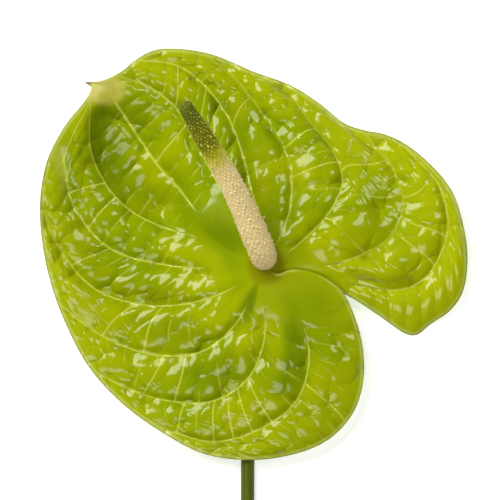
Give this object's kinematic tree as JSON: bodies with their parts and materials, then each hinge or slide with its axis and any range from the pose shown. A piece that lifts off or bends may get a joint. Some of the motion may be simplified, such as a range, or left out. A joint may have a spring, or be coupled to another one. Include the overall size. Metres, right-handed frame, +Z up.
{
  "type": "cut anthurium stem",
  "caption": "Cut anthurium lying face up: quilted heart-shaped green spathe, upright tapering spadix set with florets, long bare stalk.",
  "frame": {"origin": "middle of the whole flower's box, at the height of the table it lies on", "axes": "+Z up from the table, +Y from the stalk's cut end to the spathe, +X to the right of the spathe seen from above"},
  "size_m": [0.1496, 0.516, 0.054],
  "materials": {
    "spathe": "waxy gloss",
    "spadix": "fine pebbled matte",
    "stalk": "smooth satin"
  },
  "bodies": {
    "root": {"spathe": "spathe", "spadix": "spadix", "stalk": "stalk"}
  },
  "joints": []
}
